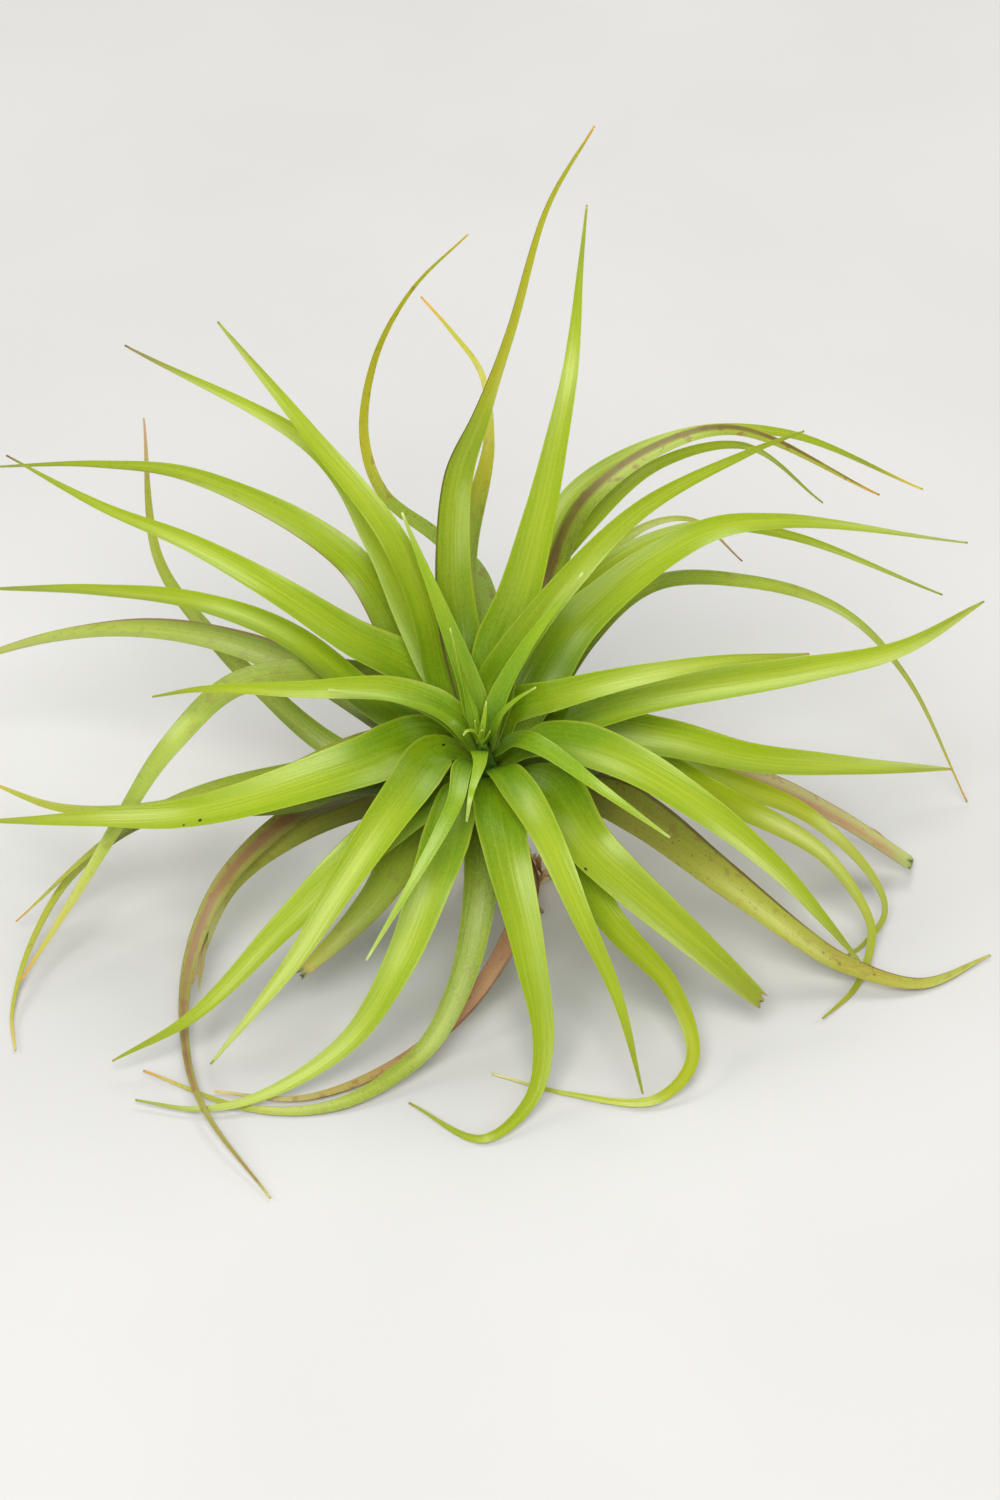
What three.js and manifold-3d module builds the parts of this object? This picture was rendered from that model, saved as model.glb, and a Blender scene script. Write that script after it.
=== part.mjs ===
// A soft-leaved air plant lying on a flat surface, life size.
// Millimetres, +Z up, the middle of the stem's foot at the origin.
// The viewer of the plant looks along +Y, so "front" is -Y, "back" is +Y and "right" is +X.
import * as THREE from "three";
import Module from "manifold-3d";

const wasm = await Module();
wasm.setup();

// The stem leans to the left and to the front: how far its centre shifts for each millimetre of height.
const LEAN = { x: -0.177, y: -0.232 };

// The stem's radius at a few heights, widest where the old leaf bases stay on.
const STEM_RADII = [
  [0, 4.6],
  [6, 4.9],
  [20, 4.0],
  [40, 2.9],
  [58.5, 1.2],
];
const STEM_SIDES = 12;

const BLADE = {
  thick: 0.7, // along the middle of a blade
  edge: 0.6, // at its margins
  tipWidth: 0.85,
  stationStep: 9, // length of blade between two cross-sections
  seatGap: 0.35, // clear of the stem
  claspEnd: 15, // distance from the stem's centre where a blade no longer wraps round it
  claspSpread: 0.47, // half-width at the foot over the distance from the stem's centre
  footWidth: 0.8, // width at the foot over the full width
  widestAt: 0.2, // share of the length
  waistLength: 0.1, // half the share of the length in which a waisted blade narrows
  cupAtFoot: 0.32, // rise of the margins over the half-width
  cupAtTip: 0.3,
  drawnIn: 0.25, // how far cupping draws the margins in, over the cup
};
const ACROSS = [-1, -0.4, 0.4, 1]; // places across a blade, in half-widths

const TINTS = {
  heart: 0x6f9a1e,
  young: 0x8fb52c,
  bright: 0xa3bf33,
  olive: 0x8f9a3c,
  dull: 0x86803a,
  dry: 0xa98a5c,
  stem: 0x7a5a3a,
};

// Each leaf: name, tint, height where it leaves the stem, full width, and the way that its middle line takes,
// from the first point clear of the stem to the tip. Leaves are counted from the heart outward.
const LEAVES = [
  ["leaf_01_front", "young", 56.4, 4.5, [[-11, -19, 60], [-11, -26, 62], [-13, -37, 62], [-14, -41, 57]]],
  ["leaf_02_right", "young", 56.95, 3.8, [[-6, -12.4, 66], [-2, -13.3, 72], [2.7, -14.6, 77]]],
  ["leaf_03_back", "young", 57.2, 4.6, [[-12, -12, 62], [-14, -10, 70], [-16, -9, 79], [-18, -8, 90]]],
  ["leaf_04_right", "young", 53.6, 6, [[-2, -13, 59], [5, -20, 62], [18, -32, 60], [35, -40, 51]]],
  ["leaf_05_left", "young", 51.9, 6.5, [[-18, -10, 62.5], [-28, -9, 67.5], [-48, -8, 71]]],
  ["leaf_06_back_right", "young", 55.6, 6, [[-6.8, -8.5, 67], [0, -5, 81], [14, 1, 100]]],
  ["leaf_07_front_left", "young", 52.8, 5.5, [[-15, -23, 59], [-17, -37, 59], [-25, -50, 50],
    [-38, -64, 33]]],
  ["leaf_08_back", "young", 53.6, 8, [[-13.5, -4.4, 68.5], [-21, 5, 87], [-30, 20, 104]]],
  ["leaf_09_right", "bright", 50.3, 9.5, [[-4, -1.5, 58.8], [9, -6, 68], [28, -6, 74], [48, -3, 76],
    [70, 1, 75]]],
  ["leaf_10_back_right", "bright", 52.8, 9.5, [[-8.5, -1.5, 66], [-4, -1, 76], [9, 7, 91], [28, 21, 104],
    [56, 40, 108], [70, 49, 108]]],
  ["leaf_11_front_right", "bright", 50.5, 10.5, [[-5, -22, 56], [4, -42, 55], [13, -59, 43], [22, -71, 27],
    [28, -87, 11]]],
  ["leaf_12_left", "bright", 50.1, 10.5, [[-18, -5, 59.5], [-31, -1, 64], [-55, -5, 68], [-80, -2, 66],
    [-92, -1, 63]]],
  ["leaf_13_front_left", "bright", 49.3, 12.8, [[-20, -11, 54], [-30, -28, 53], [-43, -46, 43],
    [-56, -62, 30], [-75, -82, 16]]],
  ["leaf_14_right", "bright", 49.2, 14.5, [[5, -11, 56], [23, -20, 58], [43, -30, 51], [62, -37, 37],
    [83, -46, 15]]],
  ["leaf_15_back", "bright", 51.6, 13.5, [[-7, 4, 71], [-1.2, 11, 86], [10.6, 33, 134], [13.6, 56, 151],
    [15.3, 71, 160]]],
  ["leaf_16_back_left", "bright", 47.9, 11, [[-20, 6, 60], [-25, 15, 78], [-34, 22, 97], [-53, 39, 114],
    [-77, 71, 126]]],
  ["leaf_17_left", "bright", 45.6, 16, [[-23, -5.4, 52.2], [-40, -18, 55], [-80, -24, 45], [-106, -16, 36],
    [-138, -9, 29]]],
  ["leaf_18_front", "bright", 46.4, 13.5, [[-8, -19, 51], [-5, -43, 50], [0.5, -61, 34], [4.2, -74, 15],
    [1.2, -83, 5], [-10, -92.3, 1.3], [-28, -80, 0.9]]],
  ["leaf_19_front_right", "bright", 45.2, 16, [[4, -15, 47.5], [15.8, -36.6, 44], [32.8, -46.5, 32],
    [58.4, -54.5, 9.6]]],
  ["leaf_20_back_right", "bright", 47.5, 15, [[4, 8, 58], [15, 17, 73], [44, 32, 88], [64, 39, 87],
    [115, 56, 68]]],
  ["leaf_21_right", "bright", 46.8, 16, [[4, -1, 51], [24, -1, 61], [68, 4, 66.3], [94, 13, 66.6],
    [116, 27, 71.2]]],
  ["leaf_22_back_left", "bright", 43.9, 14.2, [[-26, 13.6, 57], [-44, 18, 66.4], [-64, 24, 78],
    [-84, 36, 82.2], [-108, 52, 82.4], [-135, 78, 80]]],
  ["leaf_23_front_left", "bright", 44, 13, [[-15, -21, 48], [-21.3, -43, 43], [-29.5, -58, 28],
    [-42, -70, 12.6], [-62, -79.5, 3.6], [-78, -83, 1.8], [-94, -80, 1.8]]],
  ["leaf_24_front_left", "bright", 42.8, 15, [[-21, -18, 45.4], [-39, -35.5, 42.3], [-58, -47.8, 29],
    [-80, -62, 12.7], [-100.2, -70, 5]]],
  ["leaf_25_front_right", "bright", 41, 11, [[4, -24, 43], [21, -48, 30], [35.5, -55, 15],
    [40.5, -70.5, 6], [31.5, -80, 2], [11, -77, 0.8], [-8, -70, 0.8]]],
  ["leaf_26_right", "bright", 42.3, 16.5, [[17, 0, 49], [34, -3, 50], [56, -5.5, 46], [82, 1.4, 38],
    [110, 13, 27.6]]],
  ["leaf_27_back_left", "bright", 46.8, 11.5, [[-26, 18.5, 65.5], [-37, 34, 84], [-51, 49, 100.5],
    [-102, 80, 113]]],
  ["leaf_28_back_left", "bright", 42.2, 13.5, [[-30, 24.4, 57.2], [-45, 36, 78], [-83, 57, 87.6],
    [-110, 71, 82], [-143, 84, 72]]],
  ["leaf_29_back", "bright", 49, 11.5, [[-11.9, 0.6, 57.5], [-16, 11, 71], [-18, 19, 90], [-16.5, 30, 108],
    [-10.5, 34, 124], [-3.5, 44, 141], [5.5, 62, 165], [17, 78, 178]]],
  ["leaf_30_left", "bright", 40.1, 12, [[-40, 9.5, 53.4], [-59, 21, 63.7], [-82, 30, 67.8], [-109, 43, 62],
    [-141, 60, 50]]],
  ["leaf_31_left", "olive", 39, 10, [[-31, 1, 46], [-66, -13.4, 43.3], [-94, -12.2, 35.4],
    [-117, -3.4, 28.5], [-139, 13, 24]]],
  ["leaf_32_front_left", "olive", 40, 9, [[-11, -18, 41], [-11, -40, 31], [-16, -56, 16], [-25, -68, 6],
    [-45, -81, 1.4], [-66, -82, 0.9], [-93, -69, 0.8]]],
  ["leaf_33_front_left", "olive", 37.4, 17, [[-24, -21.5, 37], [-37, -38, 27.2], [-55.5, -45.5, 10]]],
  ["leaf_34_right", "olive", 34.3, 17.2, [[19, -10, 36.4], [29, -15, 34], [49, -26, 24], [69, -33, 10.6],
    [79, -36, 5.2], [99, -39, 1], [118, -28, 0.8]]],
  ["leaf_35_right", "bright", 36.6, 13, [[24, -2, 43], [50.4, -12.8, 38], [75.2, -13.8, 21.5],
    [87, -22.6, 7.5], [87.2, -27.6, 4.2], [83, -39.5, 1.1], [74, -51, 1]]],
  ["leaf_36_right", "bright", 35.6, 13, [[22, 8, 40], [48.5, -2.8, 37], [71.2, -5.8, 28],
    [88.8, -10.6, 11], [91.8, -15.8, 4.6], [86, -24.5, 1.4], [79, -30.5, 0.9]]],
  ["leaf_37_left", "olive", 37.6, 10.5, [[-34, 19, 48.5], [-49, 16, 56.2], [-72, 10, 57.6],
    [-88, -3.5, 49.4], [-102, -9.5, 28.5], [-112.5, -23.2, 16.8], [-125.4, -42.4, 5.2]]],
  ["leaf_38_left", "olive", 36.4, 13.5, [[-43.5, 20, 44.9], [-54, 24, 49.3], [-75, 31, 54], [-96, 38, 53],
    [-123, 49, 42], [-157, 56, 25]]],
  ["leaf_39_back_right", "bright", 39.4, 7, [[-3, 4, 43.1], [9, 38, 58], [27, 48, 71], [48, 51, 77],
    [69, 52, 73], [110, 57, 50.3]]],
  ["leaf_40_back_right", "olive", 38.2, 7.5, [[13, 45, 56.5], [31, 66, 65], [45, 71, 64], [58, 68, 53]]],
  ["leaf_41_back_right", "bright", 41.3, 7, [[-4, 4, 45.9], [1.6, 38.4, 66.6], [12.8, 55.7, 84.1],
    [40, 62, 97.5], [66, 64, 97], [104, 69, 75.7]]],
  ["leaf_42_back_right", "olive", 43.1, 8, [[-3, 4, 48.6], [7, 34.4, 70.4], [15, 40, 91.4],
    [32.5, 47, 103.4], [52, 51, 107], [91, 55, 84]]],
  ["leaf_43_back_right", "bright", 40.3, 7, [[-3, 4, 44.3], [4.2, 41.2, 63.6], [17, 45.4, 82.4],
    [34, 53, 95], [56, 61, 95], [78, 67, 72.8]]],
  ["leaf_44_right", "olive", 37.3, 6.5, [[17, 36, 52], [34, 46, 62], [58, 43, 65], [82, 44, 55],
    [100, 42, 35], [118, 31, 1]]],
  ["leaf_45_back", "olive", 44.9, 9, [[-8.4, 3.8, 51], [-15, 38, 73], [-8.8, 52, 103], [-10.5, 62, 116],
    [-18, 71.5, 122.5], [-26, 81, 127]]],
  ["leaf_46_back", "olive", 34.2, 6, [[-11, 49, 62], [-22.5, 56, 70], [-36, 60, 80.5], [-41, 67, 93],
    [-38, 72, 114], [-28, 74, 134], [-14, 77, 148]]],
  ["leaf_47_back_left", "olive", 27.5, 10.5, [[-38, 13, 27], [-51, 21, 28.5], [-66, 33, 35], [-81, 46, 44],
    [-96, 65, 56], [-100, 91, 83]]],
  ["leaf_48_left", "olive", 35.5, 10, [[-36, 0, 38], [-64, -3, 38], [-87, -5, 32], [-106, -8, 21],
    [-129, -19, 4]]],
  ["leaf_49_left", "olive", 33, 9, [[-41, -2, 34], [-59, -8, 33], [-93.5, -4.5, 26], [-114, -11, 13],
    [-123.5, -27.5, 5.5], [-127, -49, 1.2], [-125, -62, 0.8]]],
  ["leaf_50_front_left", "dull", 29.6, 9, [[-38, 4, 29], [-49, -3, 30], [-59, -10, 30], [-75, -24, 21],
    [-83, -40, 8.5], [-83, -62, 4], [-77, -85, 4], [-60, -111, 0.8]]],
  ["leaf_51_front_left", "olive", 24.4, 11.5, [[-31, 3, 24.5], [-56, -11, 26], [-73, -21, 17],
    [-83, -41, 3]]],
  ["leaf_52_front_left", "dull", 27, 6, [[-2, -21, 30], [1, -29, 26], [-5, -41, 15], [-17, -56, 6],
    [-33, -69, 2], [-54, -79, 1.4], [-75, -78, 2.8]]],
  ["leaf_53_right", "dull", 30, 12, [[32, 9, 36], [57, 7.6, 29], [80, 8.6, 15], [100.5, 3.4, 2.6]]],
  ["leaf_54_back", "dull", 32.6, 4.5, [[11, 50, 52], [22, 67, 65]]],
  ["leaf_55_back_left", "dry", 13, 8, [[-8, 12, 15], [-16, 32, 10], [-24, 52, 3.4], [-28, 62, 0.9]]],
  ["leaf_56_back_right", "dry", 16.2, 7, [[-2, 9, 17.6], [12, 28, 12.5], [24, 42, 4], [30, 48, 0.9]]],
];

// How fast a blade narrows past its widest place: above 1 it is slim for most of its length, below 1 broad.
const TAPER = 1.05;
const TAPERS = {
  leaf_14_right: 0.85,
  leaf_15_back: 1.35,
  leaf_16_back_left: 0.95,
  leaf_19_front_right: 0.8,
  leaf_20_back_right: 1.45,
  leaf_21_right: 0.85,
  leaf_22_back_left: 1.3,
  leaf_23_front_left: 1.35,
  leaf_24_front_left: 1.0,
  leaf_25_front_right: 1.6,
  leaf_26_right: 0.85,
  leaf_28_back_left: 1.35,
  leaf_30_left: 0.8,
  leaf_37_left: 0.95,
  leaf_38_left: 0.8,
};

// Blades that pass from a broad lower part into a narrow strand: where, as a share of the length, and the
// share of the width that is left past that place.
const WAISTS = {
  leaf_29_back: [0.53, 0.5],
  leaf_45_back: [0.66, 0.55],
  leaf_50_front_left: [0.6, 0.62],
};

// Leaves whose end was torn or cut off, with the width that is left there.
const CUT_ENDS = { leaf_19_front_right: 4.6, leaf_33_front_left: 3, leaf_53_right: 6.5 };

const CORD_STEPS = 2; // cross-sections of a cord for each stretch of its way

// Stubs of dry root that grow sideways from the foot of the stem.
const ROOT = { thick: 0.65, thin: 0.45, sides: 6 };
const ROOTS = [
  [[1, 0, 1.2], [7, 2, 1], [11, 5, 0.8]],
  [[0, -1, 1.2], [2, -8, 1], [5, -12, 0.8]],
  [[-1, 1, 1.2], [-7, 4, 1], [-12, 3, 0.8]],
];

// The heart: a short core on the stem's axis and, for each leaflet, its thickness and its way.
const HEART_CORE = [
  [58.9, 1.1],
  [61.5, 0.9],
];
const HEART_TIP = 0.35;
const HEART_SIDES = 8;
const HEART_LEAFLETS = [
  [0.95, [[-10.8, -14.1, 60.5], [-9.8, -13, 65], [-9.3, -11.3, 70]]],
  [0.8, [[-10.8, -14.2, 60.5], [-10.6, -15.2, 63], [-10.3, -16.2, 65]]],
  [0.8, [[-10.8, -14.2, 60.5], [-12.4, -14.6, 63.4], [-14, -15.5, 64], [-15, -16, 63]]],
];

// The collar of dry leaf bases: its wall, how high it reaches and how ragged its upper edge is.
const SHEATH = { wall: 0.9, bottom: 2.4, top: 8.6, ragged: 1.6, tears: 4 };

function axisAt(height) {
  return new THREE.Vector3(LEAN.x * height, LEAN.y * height, height);
}

// Straight-line reading of a table of [place, value] pairs.
function readTable(table, place) {
  const last = table.length - 1;
  if (place <= table[0][0]) return table[0][1];
  if (place >= table[last][0]) return table[last][1];
  const i = table.findIndex(([p]) => p > place);
  const [p0, v0] = table[i - 1];
  const [p1, v1] = table[i];
  return v0 + ((v1 - v0) * (place - p0)) / (p1 - p0);
}

// Where a blade's middle line starts: beside the stem, on the side of its first free point.
function footPoint(seat, firstPoint) {
  const centre = axisAt(seat);
  const outward = firstPoint.clone().sub(axisAt(firstPoint.z)).setZ(0).normalize();
  return centre.addScaledVector(outward, readTable(STEM_RADII, seat) + BLADE.seatGap);
}

// Half the width of the named blade at a share of its length.
function halfWidth(name, share, width) {
  const w = BLADE.widestAt;
  const endWidth = CUT_ENDS[name] ?? BLADE.tipWidth;
  const foot = BLADE.footWidth;
  if (share < w) return 0.5 * width * (foot + ((1 - foot) * share) / w);
  const left = 1 - (share - w) / (1 - w);
  const tapered = Math.pow(left, TAPERS[name] ?? TAPER);
  const [place, kept] = WAISTS[name] ?? [1, 1];
  const past = THREE.MathUtils.smoothstep(share, place - BLADE.waistLength, place + BLADE.waistLength);
  return 0.5 * (endWidth + (width - endWidth) * tapered * (1 - (1 - kept) * past));
}

// Middle line, direction and upper-side direction at each station, carried along without twisting.
function bladeFrames(curve, count) {
  const frames = [];
  let up = null;
  for (let i = 0; i <= count; i++) {
    const at = curve.getPointAt(i / count);
    const along = curve.getTangentAt(i / count);
    if (!up) up = new THREE.Vector3(0, 0, 1);
    up = up.clone().addScaledVector(along, -up.dot(along)).normalize();
    frames.push({ at, along, up, side: up.clone().cross(along) });
  }
  return frames;
}

// A point of a blade's surface: `v` half-widths from its middle, `lift` above its middle sheet.
// Near the stem the blade wraps round the stem's axis, and further out it is a shallow channel.
function surfacePoint(frame, half, cup, v, lift) {
  const away = half * v;
  const free = frame.at.clone()
    .addScaledVector(frame.side, away * (1 - BLADE.drawnIn * cup * v * v))
    .addScaledVector(frame.up, cup * half * v * v + lift);
  const centre = axisAt(frame.at.z);
  const arm = frame.at.clone().sub(centre);
  const reach = Math.hypot(arm.x, arm.y);
  if (reach >= BLADE.claspEnd) return free;
  const turn = away / reach;
  const z = new THREE.Vector3(0, 0, 1);
  const clasped = centre.add(arm.applyAxisAngle(z, turn))
    .addScaledVector(frame.up.clone().applyAxisAngle(z, turn), lift);
  const share = reach / BLADE.claspEnd;
  return clasped.lerp(free, share * share * (3 - 2 * share));
}

// A closed blade: rings of points over its upper and lower side, joined along its length.
function bladeGeometry(name, points, width) {
  const curve = new THREE.CatmullRomCurve3(points, false, "centripetal");
  const count = Math.ceil(curve.getLength() / BLADE.stationStep) + 2;
  const frames = bladeFrames(curve, count);
  const across = ACROSS.length;
  const ring = 2 * across;
  const positions = [];
  frames.forEach((frame, i) => {
    const share = i / count;
    const reach = frame.at.clone().sub(axisAt(frame.at.z)).length();
    const half = Math.min(halfWidth(name, share, width), BLADE.claspSpread * reach);
    const cup = BLADE.cupAtFoot + (BLADE.cupAtTip - BLADE.cupAtFoot) * share;
    const sheet = (v) => (BLADE.thick + (BLADE.edge - BLADE.thick) * v * v) / 2;
    const upper = ACROSS.map((v) => surfacePoint(frame, half, cup, v, sheet(v)));
    const lower = ACROSS.map((v) => surfacePoint(frame, half, cup, v, -sheet(v)));
    for (const p of [...upper, ...lower.reverse()]) positions.push(p.x, p.y, p.z);
  });
  const faces = [];
  for (let i = 0; i < count; i++) {
    for (let j = 0; j < ring; j++) {
      const a = i * ring + j;
      const b = i * ring + ((j + 1) % ring);
      faces.push(a, a + ring, b + ring, a, b + ring, b);
    }
  }
  const end = count * ring;
  for (let j = 0; j < across - 1; j++) {
    const k = ring - 1 - j;
    faces.push(j, j + 1, k - 1, j, k - 1, k);
    faces.push(end + j, end + k - 1, end + j + 1, end + j, end + k, end + k - 1);
  }
  const geometry = new THREE.BufferGeometry();
  geometry.setAttribute("position", new THREE.Float32BufferAttribute(positions, 3));
  geometry.setIndex(faces);
  return geometry;
}

function leafGeometry(name, seat, width, way) {
  const points = way.map(([x, y, z]) => new THREE.Vector3(x, y, z));
  points.unshift(footPoint(seat, points[0]));
  return bladeGeometry(name, points, width);
}

function solidOf(geometry) {
  const position = geometry.getAttribute("position");
  const mesh = new wasm.Mesh({
    numProp: 3,
    vertProperties: Float32Array.from(position.array),
    triVerts: Uint32Array.from(geometry.index.array),
  });
  return new wasm.Manifold(mesh);
}

function geometryOf(solid) {
  const mesh = solid.getMesh();
  const geometry = new THREE.BufferGeometry();
  geometry.setAttribute("position", new THREE.BufferAttribute(mesh.vertProperties, 3));
  geometry.setIndex(new THREE.BufferAttribute(mesh.triVerts, 1));
  return geometry;
}

// A round rod that narrows as its table of [height, radius] says, along the leaning axis, flat at both ends.
function rodGeometry(table, sides) {
  const positions = [];
  for (const [height, radius] of table) {
    const c = axisAt(height);
    for (let j = 0; j < sides; j++) {
      const turn = (2 * Math.PI * j) / sides;
      positions.push(c.x + radius * Math.cos(turn), c.y + radius * Math.sin(turn), c.z);
    }
  }
  const last = table.length - 1;
  const foot = positions.length / 3;
  const top = foot + 1;
  positions.push(...axisAt(table[0][0]).toArray(), ...axisAt(table[last][0]).toArray());
  const faces = [];
  for (let j = 0; j < sides; j++) {
    const k = (j + 1) % sides;
    for (let i = 0; i < last; i++) {
      const low = i * sides;
      const high = low + sides;
      faces.push(low + j, low + k, high + k, low + j, high + k, high + j);
    }
    faces.push(foot, k, j, top, last * sides + j, last * sides + k);
  }
  const geometry = new THREE.BufferGeometry();
  geometry.setAttribute("position", new THREE.Float32BufferAttribute(positions, 3));
  geometry.setIndex(faces);
  return geometry;
}

// A solid cord along a way, whose radius narrows evenly from `thick` to `thin`.
function cordSolid(way, thick, thin, sides) {
  const points = way.map(([x, y, z]) => new THREE.Vector3(x, y, z));
  const curve = new THREE.CatmullRomCurve3(points, false, "centripetal");
  const count = CORD_STEPS * (way.length - 1);
  const positions = [];
  bladeFrames(curve, count).forEach(({ at, up, side }, i) => {
    const radius = thick + ((thin - thick) * i) / count;
    for (let j = 0; j < sides; j++) {
      const turn = (2 * Math.PI * j) / sides;
      const p = at.clone()
        .addScaledVector(side, radius * Math.cos(turn))
        .addScaledVector(up, radius * Math.sin(turn));
      positions.push(p.x, p.y, p.z);
    }
  });
  return solidOf(closedTube(positions, count, sides));
}

// Joins rings of `sides` points into one closed tube with flat ends.
function closedTube(positions, count, sides) {
  const faces = [];
  const end = count * sides;
  for (let j = 0; j < sides; j++) {
    const k = (j + 1) % sides;
    for (let i = 0; i < end; i += sides) {
      const next = i + sides;
      faces.push(i + j, i + k, next + k, i + j, next + k, next + j);
    }
  }
  for (let j = 1; j < sides - 1; j++) faces.push(0, j + 1, j, end, end + j, end + j + 1);
  const geometry = new THREE.BufferGeometry();
  geometry.setAttribute("position", new THREE.Float32BufferAttribute(positions, 3));
  geometry.setIndex(faces);
  return geometry;
}

// The stem with the wiry stubs of its dry roots.
function stemGeometry() {
  const cords = ROOTS.map((way) => cordSolid(way, ROOT.thick, ROOT.thin, ROOT.sides));
  const stem = solidOf(rodGeometry(STEM_RADII, STEM_SIDES));
  return geometryOf(cords.reduce((whole, cord) => whole.add(cord), stem));
}

// The young leaflets still rolled up at the tip of the stem, grown together on a short core.
function heartGeometry() {
  const core = solidOf(rodGeometry(HEART_CORE, STEM_SIDES));
  const leaflets = HEART_LEAFLETS.map(([thick, way]) => cordSolid(way, thick, HEART_TIP, HEART_SIDES));
  return geometryOf(leaflets.reduce((whole, leaflet) => whole.add(leaflet), core));
}

// The ragged collar of old dry leaf bases round the foot of the stem.
function sheathGeometry() {
  const positions = [];
  for (let j = 0; j < STEM_SIDES; j++) {
    const turn = (2 * Math.PI * j) / STEM_SIDES;
    const top = SHEATH.top + SHEATH.ragged * Math.sin(SHEATH.tears * turn);
    const corners = [[SHEATH.bottom, SHEATH.wall], [top, SHEATH.wall], [top, 0], [SHEATH.bottom, 0]];
    for (const [height, wall] of corners) {
      const c = axisAt(height);
      const radius = readTable(STEM_RADII, height) + BLADE.seatGap + wall;
      positions.push(c.x + radius * Math.cos(turn), c.y + radius * Math.sin(turn), height);
    }
  }
  const faces = [];
  for (let j = 0; j < STEM_SIDES; j++) {
    const here = 4 * j;
    const next = 4 * ((j + 1) % STEM_SIDES);
    for (let i = 0; i < 4; i++) {
      const k = (i + 1) % 4;
      faces.push(here + i, next + i, next + k, here + i, next + k, here + k);
    }
  }
  const geometry = new THREE.BufferGeometry();
  geometry.setAttribute("position", new THREE.Float32BufferAttribute(positions, 3));
  geometry.setIndex(faces);
  return geometry;
}

const group = new THREE.Group();

function addMesh(name, tint, geometry) {
  const material = new THREE.MeshStandardMaterial({ color: TINTS[tint], roughness: 0.55, metalness: 0 });
  const mesh = new THREE.Mesh(geometry, material);
  mesh.name = name;
  group.add(mesh);
}

addMesh("stem", "stem", stemGeometry());
addMesh("dry_sheath", "dry", sheathGeometry());
addMesh("heart", "heart", heartGeometry());
for (const [name, tint, seat, width, way] of LEAVES) {
  addMesh(name, tint, leafGeometry(name, seat, width, way));
}

export default group;
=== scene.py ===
import math
import random

import bpy
import numpy as np
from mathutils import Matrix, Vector


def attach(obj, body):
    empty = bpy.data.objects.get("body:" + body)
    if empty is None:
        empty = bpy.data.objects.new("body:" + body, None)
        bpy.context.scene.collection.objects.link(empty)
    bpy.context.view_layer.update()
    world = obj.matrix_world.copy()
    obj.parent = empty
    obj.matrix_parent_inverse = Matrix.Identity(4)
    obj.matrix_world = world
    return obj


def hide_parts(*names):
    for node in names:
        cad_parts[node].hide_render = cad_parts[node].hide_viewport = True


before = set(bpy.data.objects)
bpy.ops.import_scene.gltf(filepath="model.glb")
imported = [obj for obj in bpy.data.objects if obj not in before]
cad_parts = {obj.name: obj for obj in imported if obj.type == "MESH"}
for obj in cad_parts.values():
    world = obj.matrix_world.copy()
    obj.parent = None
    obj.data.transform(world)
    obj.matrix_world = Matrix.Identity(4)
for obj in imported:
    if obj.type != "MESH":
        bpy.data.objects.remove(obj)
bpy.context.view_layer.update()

MM = 0.001
FULL_TURN = 2 * math.pi
SCENE = bpy.context.scene

# ---------------------------------------------------------------- sizes, in millimetres

LEAN = (-0.177, -0.232)  # the stem's lean: shift for each millimetre of height
STEM_RADII = [(0, 4.6), (6, 4.9), (20, 4.0), (40, 2.9), (58.5, 1.2)]
SEAT_GAP = 0.35  # between the stem and the foot of a blade
CLASP_END = 15.0  # how far from the stem's axis a blade still curves round it
CLASP_SPREAD = 0.47  # widest half-width of a blade for each millimetre from the axis

FOOT_SHARE = 0.8  # share of the full width at the foot
WIDEST_AT = 0.2
TIP_WIDTH = 0.6
CUP = 0.31  # how far the margins rise, for each millimetre of half-width
CUP_PULL = 0.25  # how far the margins come in as they rise
CUP_CURVE = 1.7

STATION_STEP = 1.6  # length of blade between two rings of points
FEWEST_STATIONS = 8
WAY_STEPS = 40  # samples of a smooth line between two of its points
RING_POINTS = 26
THICK_MID = 1.15  # thickness of a fleshy blade along its middle
THICK_SLIM = (0.30, 0.25)  # thickness of a slim one: share of its half-width, and what is added
THICK_MARGIN = 0.28
WAVE_SHARE = 0.035  # how far a margin drifts, as a share of the half-width
WAVE_GROWTH = 3  # how fast the drift grows from the foot on
WAVE_LENGTHS = (18, 45)  # shortest and longest
WAVE_SIZES = (0.3, 1.0)
WAVE_TURN = 6.28  # one whole wave, in radians
WAVES = 3

# Blades that end in a torn edge: its width.
CUT_ENDS = {"leaf_19_front_right": 4.6, "leaf_33_front_left": 3, "leaf_53_right": 6.5}
TORN_LENGTH = 3.0
TEAR = (1.1, 7, 0.9)  # depth of the notches, how many, and how far the whole edge draws back

# Slivers torn loose along a blade's margin.
SLIVERS = {
    "leaf_50_front_left": [[(-79.5, -33, 13.5), (-80.2, -40, 9.8), (-80.6, -46.5, 6.5)]],
    "leaf_53_right": [[(86, 10.5, 9.5), (91.5, 12.5, 6.9), (97.8, 7.6, 3.1)]],
}
SLIVER_SHAPE = {"wide": 0.9, "narrow": 0.25, "roll": 0.5, "thick": 0.4}
ROLLED_STEP = 0.4
ROLLED_POINTS = 16
ROLLED_THICK = 0.6  # thickest that a rolled leaf may be, as a share of its half-width

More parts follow.
